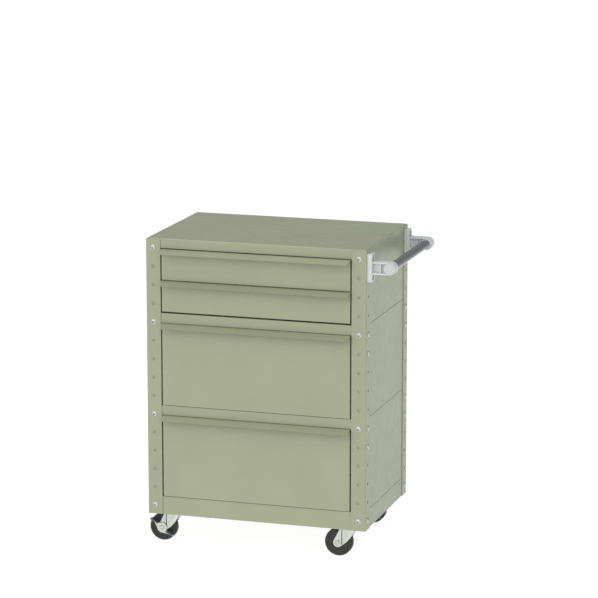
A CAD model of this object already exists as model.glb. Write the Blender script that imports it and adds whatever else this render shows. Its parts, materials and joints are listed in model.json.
"""Looks of the rolling tool chest: materials, finer pieces, studio and camera.

Metres throughout, in the frame's own axes: +X is the handle side, the drawers open towards -Y, the
floor is z = 0. Overall sizes are read from the frame's boxes. The finer sizes, such as shanks, bores
and tread plates, follow the CAD but aren't read from it.
"""

import json
import math

import bmesh
import bpy
from mathutils import Matrix, Vector


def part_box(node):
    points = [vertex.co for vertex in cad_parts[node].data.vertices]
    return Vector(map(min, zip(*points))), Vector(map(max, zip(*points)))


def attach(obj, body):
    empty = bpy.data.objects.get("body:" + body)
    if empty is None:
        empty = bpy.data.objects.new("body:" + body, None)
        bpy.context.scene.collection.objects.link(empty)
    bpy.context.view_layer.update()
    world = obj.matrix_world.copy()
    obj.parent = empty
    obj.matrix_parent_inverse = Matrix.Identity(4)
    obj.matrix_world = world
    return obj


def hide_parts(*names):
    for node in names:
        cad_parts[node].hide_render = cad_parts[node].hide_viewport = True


MM = 0.001

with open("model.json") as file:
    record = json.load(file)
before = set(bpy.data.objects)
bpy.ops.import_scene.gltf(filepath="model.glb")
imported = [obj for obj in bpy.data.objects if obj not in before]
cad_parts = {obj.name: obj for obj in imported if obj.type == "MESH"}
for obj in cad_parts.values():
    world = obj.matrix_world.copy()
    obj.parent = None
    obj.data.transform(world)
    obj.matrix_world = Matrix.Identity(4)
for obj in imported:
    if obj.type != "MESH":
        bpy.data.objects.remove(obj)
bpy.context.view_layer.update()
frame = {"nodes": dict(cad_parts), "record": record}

BODY_OF_NODE = {node: body for body, members in frame["record"]["behaviour"]["bodies"].items()
                for node in members}
SLOT_OF_NODE = {s["node"]: s["material_slot"] for s in frame["record"]["subparts"]}
CORNERS = ("front_left", "front_right", "rear_left", "rear_right")
DRAWERS = (1, 2, 3, 4)


def joined_box(*nodes):
    lows, highs = zip(*[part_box(n) for n in nodes])
    return Vector(map(min, zip(*lows))), Vector(map(max, zip(*highs)))


def solids(node):
    """Lowest and highest corner of each separate solid of a node."""
    mesh = frame["nodes"][node].data
    places = {}
    ids = [places.setdefault(tuple(round(c / (0.01 * MM)) for c in v.co), len(places))
           for v in mesh.vertices]
    leader = list(range(len(places)))

    def lead(i):
        while leader[i] != i:
            leader[i] = leader[leader[i]]
            i = leader[i]
        return i

    for edge in mesh.edges:
        first, second = (lead(ids[v]) for v in edge.vertices)
        leader[first] = second
    groups = {}
    for vertex, i in zip(mesh.vertices, ids):
        groups.setdefault(lead(i), []).append(vertex.co)
    return [(Vector(map(min, zip(*cos))), Vector(map(max, zip(*cos)))) for cos in groups.values()]


# The posts' outer faces, and the middle of the body that they enclose
BODY_LOW, BODY_HIGH = joined_box(*[f"post_{c}" for c in CORNERS])
BODY_MIDDLE = (BODY_LOW + BODY_HIGH) / 2


# ---- Materials ----


def srgb(r, g, b):
    """Linear colour of an sRGB colour given as 0 to 255."""
    channels = [c / 255 for c in (r, g, b)]
    return [c / 12.92 if c <= 0.04045 else ((c + 0.055) / 1.055) ** 2.4 for c in channels]


def ramp(nodes, low, dark, high, light):
    """A colour ramp from dark at low to light at high."""
    node = nodes.new("ShaderNodeValToRGB")
    for element, position, color in zip(node.color_ramp.elements, (low, high), (dark, light)):
        element.position = position
        element.color = (*color, 1)
    return node


# Where the values of a noise or cell texture mostly lie
NOISE_SPAN = (0.3, 0.7)


class Shader:
    """A Principled material with short ways to add texture nodes to it."""

    def __init__(self, name, color, roughness, metallic=0.0, **inputs):
        self.material = bpy.data.materials.new(name)
        self.material.use_nodes = True
        self.nodes = self.material.node_tree.nodes
        self.links = self.material.node_tree.links
        self.bsdf = next(n for n in self.nodes if n.type == "BSDF_PRINCIPLED")
        self.bsdf.inputs["Base Color"].default_value = (*color, 1)
        self.bsdf.inputs["Roughness"].default_value = roughness
        self.bsdf.inputs["Metallic"].default_value = metallic
        for key, value in inputs.items():
            self.bsdf.inputs[key.replace("_", " ")].default_value = value
        self.color = color
        self.coordinates = self.nodes.new("ShaderNodeTexCoord").outputs["Object"]

    def stretched(self, scale):
        mapping = self.nodes.new("ShaderNodeMapping")
        mapping.inputs["Scale"].default_value = scale
        self.links.new(self.coordinates, mapping.inputs["Vector"])
        return mapping.outputs["Vector"]

    def noise(self, scale, detail=3.0, roughness=0.5, vector=None):
        node = self.nodes.new("ShaderNodeTexNoise")
        node.inputs["Scale"].default_value = scale
        node.inputs["Detail"].default_value = detail
        node.inputs["Roughness"].default_value = roughness
        self.links.new(vector or self.coordinates, node.inputs["Vector"])
        return node.outputs["Fac"]

    def cells(self, scale):
        node = self.nodes.new("ShaderNodeTexVoronoi")
        node.inputs["Scale"].default_value = scale
        self.links.new(self.coordinates, node.inputs["Vector"])
        return node.outputs["Distance"]

    def spread(self, value, low, high):
        """Maps a noise value's usual span to low to high."""
        node = self.nodes.new("ShaderNodeMapRange")
        node.inputs["From Min"].default_value = NOISE_SPAN[0]
        node.inputs["From Max"].default_value = NOISE_SPAN[1]
        node.inputs["To Min"].default_value = low
        node.inputs["To Max"].default_value = high
        self.links.new(value, node.inputs["Value"])
        return node.outputs["Result"]

    def mottle(self, value, dark, light):
        """Base colour runs from dark to light times the material's own colour."""
        shades = [[min(1, c * factor) for c in self.color] for factor in (dark, light)]
        node = ramp(self.nodes, NOISE_SPAN[0], shades[0], NOISE_SPAN[1], shades[1])
        self.links.new(value, node.inputs["Fac"])
        self.links.new(node.outputs["Color"], self.bsdf.inputs["Base Color"])

    def roughen(self, value, low, high):
        self.links.new(self.spread(value, low, high), self.bsdf.inputs["Roughness"])

    def bump(self, value, depth, strength):
        node = self.nodes.new("ShaderNodeBump")
        node.inputs["Strength"].default_value = strength
        node.inputs["Distance"].default_value = depth
        self.links.new(value, node.inputs["Height"])
        self.links.new(node.outputs["Normal"], self.bsdf.inputs["Normal"])


def powder_coat(name, color, roughness):
    """Sprayed powder: a fine orange-peel skin, a little cloudy in colour and gloss."""
    s = Shader(name, color, roughness, Specular_IOR_Level=0.45)
    s.mottle(s.noise(9, 4), 0.975, 1.025)
    s.roughen(s.noise(35, 3), roughness - 0.05, roughness + 0.05)
    s.bump(s.noise(950, 2), 0.06 * MM, 0.35)
    return s.material


def plated(name, color, roughness):
    """Zinc plate: faint crystal spangle and a soft cloudy shine."""
    s = Shader(name, color, roughness, metallic=1.0)
    s.mottle(s.cells(420), 0.86, 1.06)
    s.roughen(s.noise(160, 3), roughness - 0.07, roughness + 0.08)
    s.bump(s.noise(700, 3), 0.05 * MM, 0.3)
    return s.material


def rolled(name, color, roughness):
    """Rolled steel: streaks along Y, the way the slides run."""
    s = Shader(name, color, roughness, metallic=1.0)
    streaks = s.noise(1, 4, vector=s.stretched((2400, 14, 2400)))
    s.mottle(s.noise(30, 3), 0.94, 1.04)
    s.roughen(streaks, roughness - 0.08, roughness + 0.1)
    s.bump(streaks, 0.02 * MM, 0.3)
    return s.material


def moulded(name, color, roughness, grain, depth):
    """Moulded plastic with a spark-eroded grain."""
    s = Shader(name, color, roughness, Specular_IOR_Level=0.5)
    s.mottle(s.noise(40, 3), 0.97, 1.02)
    s.roughen(s.noise(120, 2), roughness - 0.05, roughness + 0.06)
    s.bump(s.noise(grain, 2), depth, 0.5)
    return s.material


def rubber(name, color, roughness):
    """Moulded rubber: dull, slightly dusty, with a fine pitted skin."""
    s = Shader(name, color, roughness, Specular_IOR_Level=0.35)
    s.mottle(s.noise(55, 5, 0.6), 0.8, 1.35)
    s.roughen(s.noise(90, 3), roughness - 0.08, roughness + 0.1)
    s.bump(s.cells(1500), 0.05 * MM, 0.4)
    return s.material


MATERIALS = {
    "green_paint": powder_coat("green_powder_coat", srgb(149, 151, 125), 0.35),
    "tray_steel": powder_coat("grey_powder_coat", srgb(172, 174, 168), 0.5),
    "slide_steel": rolled("rolled_slide_steel", srgb(205, 206, 204), 0.32),
    "handle_plastic": moulded("white_moulded_plastic", srgb(198, 197, 198), 0.4, 1300, 0.04 * MM),
    "cap_plastic": moulded("cap_moulded_plastic", srgb(186, 186, 186), 0.45, 1300, 0.04 * MM),
    "tube_steel": rolled("drawn_tube_steel", srgb(212, 214, 215), 0.2),
    "grip_plastic": moulded("dark_grip_plastic", srgb(92, 96, 98), 0.3, 1600, 0.03 * MM),
    "bolt_steel": plated("bright_plated_steel", srgb(196, 196, 193), 0.22),
    "tyre_rubber": rubber("black_tyre_rubber", srgb(46, 46, 43), 0.6),
    "wheel_core": moulded("black_core_plastic", srgb(44, 44, 42), 0.45, 1100, 0.05 * MM),
    "zinc_steel": plated("zinc_plated_pressing", srgb(205, 207, 199), 0.34),
}


def finish_of(piece, slot):
    piece.data.materials.clear()
    piece.data.materials.append(MATERIALS[slot])


# ---- Mesh work ----


def angles(*span):
    """A range of degrees, in radians."""
    return [math.radians(d) for d in range(*span)]


def hexagon(radius):
    return [(radius * math.cos(a), radius * math.sin(a)) for a in angles(0, 360, 60)]


def lathe(bm, profile, segments, matrix=None, closed=False):
    """Turns a profile of (radius, height) points about local z. An open one ends on the axis."""
    on_axis = 1e-9
    rings = []
    for r, h in profile:
        if r < on_axis:
            rings.append([bm.verts.new((0, 0, h))])
        else:
            turns = [2 * math.pi * i / segments for i in range(segments)]
            rings.append([bm.verts.new((r * math.cos(a), r * math.sin(a), h)) for a in turns])
    pairs = list(zip(rings, rings[1:] + rings[:1])) if closed else list(zip(rings, rings[1:]))
    for lower, upper in pairs:
        for i in range(segments):
            j = (i + 1) % segments
            corners = [lower[i % len(lower)], lower[j % len(lower)],
                       upper[j % len(upper)], upper[i % len(upper)]]
            bm.faces.new(list(dict.fromkeys(corners)))
    if matrix is not None:
        bmesh.ops.transform(bm, matrix=matrix, verts=[v for ring in rings for v in ring])


def prism(bm, outline, low, high, end_scale=1.0, matrix=None):
    """Outline in local x and y from low to high, where it is scaled by end_scale."""
    bottom = [bm.verts.new((x, y, low)) for x, y in outline]
    top = [bm.verts.new((x * end_scale, y * end_scale, high)) for x, y in outline]
    bm.faces.new(bottom)
    bm.faces.new(top)
    for i in range(len(outline)):
        j = (i + 1) % len(outline)
        bm.faces.new((bottom[i], bottom[j], top[j], top[i]))
    if matrix is not None:
        bmesh.ops.transform(bm, matrix=matrix, verts=bottom + top)


def block(bm, low, high):
    (x0, y0, z0), (x1, y1, z1) = low, high
    prism(bm, [(x0, y0), (x1, y0), (x1, y1), (x0, y1)], z0, z1)


def loose_object(name, bm):
    bmesh.ops.recalc_face_normals(bm, faces=bm.faces)
    mesh = bpy.data.meshes.new(name)
    bm.to_mesh(mesh)
    bm.free()
    obj = bpy.data.objects.new(name, mesh)
    bpy.context.scene.collection.objects.link(obj)
    return obj


def carved(bm, cutter):
    """The first closed mesh without the second."""
    whole, tool = loose_object("whole", bm), loose_object("tool", cutter)
    boolean = whole.modifiers.new("carve", "BOOLEAN")
    boolean.object = tool
    boolean.solver = "EXACT"
    bpy.context.view_layer.update()
    result = bmesh.new()
    result.from_mesh(whole.evaluated_get(bpy.context.evaluated_depsgraph_get()).to_mesh())
    for obj in (whole, tool):
        bpy.data.objects.remove(obj)
    return result


def node_mesh(node):
    """A closed copy of a node's mesh, with its flat faces whole."""
    bm = bmesh.new()
    bm.from_mesh(frame["nodes"][node].data)
    bmesh.ops.remove_doubles(bm, verts=bm.verts, dist=0.005 * MM)
    bmesh.ops.dissolve_limit(bm, angle_limit=math.radians(0.5), verts=bm.verts, edges=bm.edges)
    return bm


def copies(bm, matrices):
    """One bmesh with the given one at each place."""
    mesh = bpy.data.meshes.new("copied")
    bmesh.ops.recalc_face_normals(bm, faces=bm.faces)
    bm.to_mesh(mesh)
    bm.free()
    result = bmesh.new()
    for matrix in matrices:
        placed = mesh.copy()
        placed.transform(matrix)
        result.from_mesh(placed)
    return result


def rounded_edges(obj, width, segments=2):
    """Rounds an object's sharp edges, as bent, pressed and moulded edges are."""
    for polygon in obj.data.polygons:
        polygon.use_smooth = True
    bevel = obj.modifiers.new("edges", "BEVEL")
    bevel.width = width
    bevel.segments = segments
    bevel.limit_method = "ANGLE"
    bevel.angle_limit = math.radians(35)
    bevel.harden_normals = True
    bevel.use_clamp_overlap = True


def add_piece(name, bm, node, replace=True, edge=None):
    """A piece that rides with a node's body and takes its finish. It can stand for the node."""
    obj = loose_object(name, bm)
    if edge is None:
        for polygon in obj.data.polygons:
            polygon.use_smooth = True
        obj.data.set_sharp_from_angle(angle=math.radians(32))
    else:
        rounded_edges(obj, edge)
    finish_of(obj, SLOT_OF_NODE[node])
    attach(obj, BODY_OF_NODE[node])
    if replace:
        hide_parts(node)
    return obj


# ---- The frame's own nodes ----

# Width in mm of the rounded edges, by the start of the node's name
EDGE = {"post": 0.7, "housing": 0.7, "base_tray": 0.7, "drawer_front": 0.7, "drawer_pull": 0.45,
        "handle_bracket": 1.0, "handle_caps": 0.8, "handle_grip": 0.5, "brake": 0.5}
OTHER_EDGE = 0.3

for node, obj in frame["nodes"].items():
    finish_of(obj, "cap_plastic" if node == "handle_caps" else SLOT_OF_NODE[node])
    width = next((w for prefix, w in EDGE.items() if node.startswith(prefix)), OTHER_EDGE)
    rounded_edges(obj, width * MM)


# ---- Bolts ----


# How far a cutter stands out of the face that it cuts
PROUD = 0.5 * MM


def outward_frames(node):
    """For each bolt of a node, a frame on the post's face with local z out of the chest."""
    frames = []
    for low, high in solids(node):
        middle = (low + high) / 2
        # A bolt's axis is the one along which it sticks out of the body
        axis = max((0, 1), key=lambda i: max(high[i] - BODY_HIGH[i], BODY_LOW[i] - low[i]))
        out = Vector((0, 0, 0))
        out[axis] = math.copysign(1, middle[axis] - BODY_MIDDLE[axis])
        seat = middle.copy()
        seat[axis] = (BODY_HIGH if out[axis] > 0 else BODY_LOW)[axis]
        turn = out.to_track_quat("Z", "Y").to_matrix().to_4x4()
        frames.append(Matrix.Translation(seat) @ turn)
    return frames


def cross(arm, half):
    """Outline of a cross with arms of the given reach and half width."""
    return [(arm, -half), (arm, half), (half, half), (half, arm), (-half, arm), (-half, half),
            (-arm, half), (-arm, -half), (-half, -half), (-half, -arm), (half, -arm),
            (half, -half)]


def post_bolts():
    """Domed screws with a brim and a tapered cross recess."""
    low, high = min(solids("post_bolts"), key=lambda box: box[0].y)
    head_r = (high.z - low.z) / 2
    head_h = BODY_LOW.y - low.y
    shank_l = high.y - BODY_LOW.y
    shank_r, shank_end = 3.9 * MM, 1.2 * MM
    brim_w, brim_t, brim_edge = 1.1 * MM, 0.9 * MM, 0.3 * MM
    recess_arm, recess_half, recess_depth, recess_taper = 4.6 * MM, 1.4 * MM, 3.6 * MM, 0.45
    dome_r = head_r - brim_w
    dome = [(dome_r * math.sin(a), brim_t + (head_h - brim_t) * math.cos(a))
            for a in angles(0, 91, 9)]
    brim = [(head_r - brim_edge, brim_t), (head_r, brim_t - brim_edge), (head_r, 0)]
    shank = [(shank_r, 0), (shank_r, -shank_l + shank_end), (shank_r - shank_end, -shank_l),
             (0, -shank_l)]
    bolt = bmesh.new()
    lathe(bolt, dome + brim + shank, 40)
    recess = bmesh.new()
    prism(recess, cross(recess_arm, recess_half), head_h + PROUD, head_h - recess_depth,
          recess_taper)
    bolt = carved(bolt, recess)
    add_piece("post_bolt_heads", copies(bolt, outward_frames("post_bolts")), "post_bolts")


def handle_bolts():
    """Cylinder-head screws with a hexagon socket, and their nuts inside the posts."""
    low, high = solids("handle_bolts")[0]
    head_r = (high.y - low.y) / 2
    top = high.x - BODY_HIGH.x
    bottom = low.x - BODY_HIGH.x
    head_h, head_edge = 6 * MM, 0.6 * MM
    shank_r, shank_end = 3 * MM, 0.8 * MM
    socket_r, socket_depth, socket_taper = 2.9 * MM, 3.2 * MM, 0.97
    nut_r, nut_h, nut_top = 5.6 * MM, 5 * MM, -3.4 * MM
    head = [(0, top), (head_r - head_edge, top), (head_r, top - head_edge), (head_r, top - head_h)]
    shank = [(shank_r, top - head_h), (shank_r, bottom + shank_end),
             (shank_r - shank_end, bottom), (0, bottom)]
    bolt = bmesh.new()
    lathe(bolt, head + shank, 36)
    socket = bmesh.new()
    prism(socket, hexagon(socket_r), top + PROUD, top - socket_depth, socket_taper)
    bolt = carved(bolt, socket)
    prism(bolt, hexagon(nut_r), nut_top - nut_h, nut_top)
    add_piece("handle_bolt_set", copies(bolt, outward_frames("handle_bolts")), "handle_bolts")


post_bolts()
handle_bolts()


# ---- Pulls ----


def pull(n):
    """A strip of sheet with a round bend where the ledge turns down into the lip."""
    node = f"drawer_pull_{n}"
    low, high = (Vector(c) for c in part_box(node))
    bm = node_mesh(node)
    from_rims, under_top = 4 * MM, 0.1 * MM

    def bend(outer):
        """The long edges away from the strip's rims, outside or inside the bend."""
        return [e for e in bm.edges
                if e.calc_length() > 0.9 * (high.x - low.x)
                and low.y + from_rims < e.verts[0].co.y < high.y - from_rims
                and (e.verts[0].co.z > high.z - under_top) == outer]

    for outer, width, segments in ((False, 0.9 * MM, 3), (True, 2.2 * MM, 6)):
        bmesh.ops.bevel(bm, geom=bend(outer), offset=width, segments=segments, profile=0.5,
                        affect="EDGES")
    add_piece(f"bent_pull_{n}", bm, node, edge=0.35 * MM)


for n in DRAWERS:
    pull(n)


# ---- Casters ----

AXLE_R = 4 * MM
BRAKED = ("front_left", "rear_right")


def axle_of(corner):
    """Middle of a caster's wheel."""
    low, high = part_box(f"tyre_{corner}")
    return (Vector(low) + Vector(high)) / 2


def sideways(place):
    """A frame whose local z runs along -Y, out of a caster's left leg."""
    return Matrix.Translation(place) @ Matrix.Rotation(math.radians(90), 4, "X")


def fork(corner, axle_at):
    """The pressed fork with a groove down each leg, where its broad part is pressed out."""
    node = f"fork_{corner}"
    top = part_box(node)[1][2]
    leg_face = 18 * MM
    groove_x, groove_z, groove_w, groove_d = 11 * MM, 4 * MM, 2.2 * MM, 2.2 * MM
    left, bottom = axle_at.x + groove_x, axle_at.z - groove_z
    grooves = bmesh.new()
    for side in (-1, 1):
        near, far = sorted(axle_at.y + side * d for d in (leg_face + MM, leg_face - groove_d))
        block(grooves, (left, near, bottom), (left + groove_w, far, top))
    bm = carved(node_mesh(node), grooves)
    add_piece(f"pressed_fork_{corner}", bm, node, edge=0.35 * MM)


def axle(corner, axle_at):
    """A shaft with a flanged dome at each end."""
    node = f"axle_{corner}"
    low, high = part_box(node)
    near, far = axle_at.y - low[1], axle_at.y - high[1]
    cap_h = 4 * MM
    flange_r, flange_t, flange_edge = 7 * MM, 1.3 * MM, 0.5 * MM
    dome_r, dome_h = 4.4 * MM, 2.7 * MM

    def end(side, tip):
        seat = tip - side * cap_h
        face = seat + side * flange_t
        dome = [(dome_r * math.cos(a), seat + side * (flange_t + dome_h * math.sin(a)))
                for a in angles(90, -1, -15)]
        flange = [(flange_r - flange_edge, face), (flange_r, face - side * flange_edge),
                  (flange_r, seat)]
        return dome + flange + [(AXLE_R, seat)]

    profile = end(1, near) + end(-1, far)[::-1]
    profile[0], profile[-1] = (0, near), (0, far)
    bm = bmesh.new()
    lathe(bm, profile, 36, sideways(axle_at))
    add_piece(f"flanged_axle_{corner}", bm, node)


def tyre(corner, axle_at):
    """A solid tyre with round shoulders, a moulding line round its tread and grooved walls."""
    node = f"tyre_{corner}"
    low, high = (Vector(c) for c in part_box(node))
    radius, half = (high.z - low.z) / 2, (high.y - low.y) / 2
    bore, shoulder = 26 * MM, 5 * MM
    line_half, line_depth, line_floor = 0.5 * MM, 0.4 * MM, 0.15 * MM
    # The side wall's grooves: how far out from the bore and how far under the wall, in mm
    grooves = ((0, 1.2), (1.2, 0.3), (2.6, 0.3), (2.9, 0.8), (3.5, 0.8), (3.8, 0))
    side = [(bore + out * MM, half - under * MM) for out, under in grooves]
    side += [(radius - shoulder + shoulder * math.sin(a),
              half - shoulder + shoulder * math.cos(a)) for a in angles(0, 91, 10)]
    side += [(radius, line_half), (radius - line_depth, line_floor)]
    bm = bmesh.new()
    lathe(bm, side + [(r, -h) for r, h in side[::-1]], 96, sideways(axle_at), closed=True)
    add_piece(f"moulded_tyre_{corner}", bm, node)


def hub(corner, axle_at):
    """The moulded core: rim, web, ribs on both sides and a long hub on the axle."""
    node = f"hub_{corner}"
    low, high = (Vector(c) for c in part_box(node))
    core_r, half = (high.z - low.z) / 2, (high.y - low.y) / 2
    rim_half, rim_t, web_half = 10 * MM, 5 * MM, 8 * MM
    hub_r, hub_edge, bore_r = 12 * MM, 0.8 * MM, AXLE_R + 0.05 * MM
    slope = 0.4 * MM
    rib_count, rib_half, rib_inset, rib_root = 6, 1.2 * MM, 0.6 * MM, MM
    rim_r = core_r - rim_t
    outline = [(bore_r, half), (hub_r - hub_edge, half), (hub_r, half - hub_edge),
               (hub_r + slope, web_half), (rim_r - slope, web_half), (rim_r, rim_half),
               (core_r, rim_half)]
    place = sideways(axle_at)
    bm = bmesh.new()
    lathe(bm, outline + [(r, -h) for r, h in outline[::-1]], 64, place, closed=True)
    inner, outer = hub_r - rib_root, rim_r + rib_root
    rib = [(inner, -rib_half), (outer, -rib_half), (outer, rib_half), (inner, rib_half)]
    for i in range(rib_count):
        turn = place @ Matrix.Rotation(2 * math.pi * i / rib_count, 4, "Z")
        prism(bm, rib, -rim_half + rib_inset, rim_half - rib_inset, matrix=turn)
    add_piece(f"ribbed_hub_{corner}", bm, node)


# Where a pedal's two tread plates start and end, as x and z from the axle in mm
TREAD_PLATES = (((-29.0, 25.3), (-8.6, 14.2)), ((13.4, -7.4), (32.6, -17.3)))


def pedal_treads(corner, axle_at):
    """Ribbed dark pads over the two tread plates of a brake pedal."""
    node = f"brake_pedal_{corner}"
    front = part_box(node)[0][1]
    rib_steps, low_t, high_t, wrap = 9, 1.0 * MM, 1.7 * MM, 2.4 * MM
    pad_w, overhang = 9.5 * MM, 0.3 * MM
    bm = bmesh.new()
    for (x0, z0), (x1, z1) in TREAD_PLATES:
        start = axle_at + Vector((x0, 0, z0)) * MM
        run = Vector((x1 - x0, 0, z1 - z0)) * MM
        place = Matrix.Translation((start.x, front, start.z))
        place = place @ Matrix.Rotation(-math.atan2(run.z, run.x), 4, "Y")
        ribs = [(i * run.length / rib_steps, t) for i in range(rib_steps + 1)
                for t in ((low_t, high_t) if i % 2 else (high_t, low_t))]
        outline = [(0, -wrap), *ribs, (run.length, -wrap)]
        prism(bm, outline, -pad_w, overhang,
              matrix=place @ Matrix.Rotation(math.radians(90), 4, "X"))
    obj = add_piece(f"pedal_treads_{corner}", bm, node, replace=False, edge=0.2 * MM)
    finish_of(obj, "grip_plastic")


for corner in BRAKED:
    pedal_treads(corner, axle_of(corner))
for corner in CORNERS:
    for build in (fork, axle, tyre, hub):
        build(corner, axle_of(corner))


# ---- Studio ----


def floor():
    """Glowing white paper: it hides its shadows, apart from a trace right under the wheels."""
    size = 40.0
    mesh = bpy.data.meshes.new("studio_floor")
    corners = [(-size, -size, 0), (size, -size, 0), (size, size, 0), (-size, size, 0)]
    mesh.from_pydata(corners, [], [(0, 1, 2, 3)])
    obj = bpy.data.objects.new("studio_floor", mesh)
    bpy.context.scene.collection.objects.link(obj)
    grey, glow = 0.15, 0.93
    s = Shader("studio_paper", (grey, grey, grey), 0.9, Specular_IOR_Level=0.0,
               Emission_Color=(1, 1, 1, 1), Emission_Strength=glow)
    s.mottle(s.noise(3, 2), 0.99, 1.0)
    mesh.materials.append(s.material)


# The sky is brightest along SKY_AXIS and fades out where the share of it falls through SKY_FADE
SKY_AXIS = (0, -0.8, 0.6)
SKY_FADE = (0.0, 0.8)
# The tint turns from the left one to the right one between these shares of +X
SKY_TINT = (-0.6, 0.9)


def sky(strength, back, left, right):
    """Soft light from the front and above, which fades to back behind, cooler at the handle."""
    world = bpy.data.worlds.new("studio_world")
    bpy.context.scene.world = world
    world.use_nodes = True
    nodes, links = world.node_tree.nodes, world.node_tree.links
    generated = nodes.new("ShaderNodeTexCoord").outputs["Generated"]
    direction = nodes.new("ShaderNodeSeparateXYZ")
    links.new(generated, direction.inputs[0])
    towards = nodes.new("ShaderNodeVectorMath")
    towards.operation = "DOT_PRODUCT"
    towards.inputs[1].default_value = SKY_AXIS
    links.new(generated, towards.inputs[0])
    depth = nodes.new("ShaderNodeMapRange")
    depth.inputs["From Min"].default_value = SKY_FADE[0]
    depth.inputs["From Max"].default_value = SKY_FADE[1]
    links.new(towards.outputs["Value"], depth.inputs["Value"])
    fade = ramp(nodes, 0.0, (back, back, back), 1.0, (1, 1, 1))
    links.new(depth.outputs["Result"], fade.inputs["Fac"])
    across = nodes.new("ShaderNodeMapRange")
    across.inputs["From Min"].default_value = SKY_TINT[0]
    across.inputs["From Max"].default_value = SKY_TINT[1]
    links.new(direction.outputs["X"], across.inputs["Value"])
    tint = ramp(nodes, 0.0, left, 1.0, right)
    links.new(across.outputs["Result"], tint.inputs["Fac"])
    mixed = nodes.new("ShaderNodeMix")
    mixed.data_type = "RGBA"
    mixed.blend_type = "MULTIPLY"
    mixed.inputs["Factor"].default_value = 1
    links.new(fade.outputs["Color"], mixed.inputs["A"])
    links.new(tint.outputs["Color"], mixed.inputs["B"])
    links.new(mixed.outputs["Result"], nodes["Background"].inputs["Color"])
    nodes["Background"].inputs["Strength"].default_value = strength


def camera():
    """A long lens, from the front, a little to the handle's side and a little above."""
    azimuth, elevation = math.radians(17.33), math.radians(11.856)
    distance, lens = 7.748, 175.26
    aim = BODY_MIDDLE + Vector((0.0617, -0.0155, 0.1968))
    back = Vector((math.sin(azimuth) * math.cos(elevation),
                   -math.cos(azimuth) * math.cos(elevation),
                   math.sin(elevation)))
    data = bpy.data.cameras.new("camera")
    data.sensor_width = 36
    data.lens = lens
    data.clip_end = 100
    obj = bpy.data.objects.new("camera", data)
    obj.location = aim + back * distance
    obj.rotation_mode = "QUATERNION"
    obj.rotation_quaternion = (-back).to_track_quat("-Z", "Y")
    bpy.context.scene.collection.objects.link(obj)
    bpy.context.scene.camera = obj


bpy.context.scene.view_settings.view_transform = "Standard"
floor()
sky(1.8, 0.22, (1.0, 0.98, 0.95), (0.61, 0.74, 0.76))
camera()
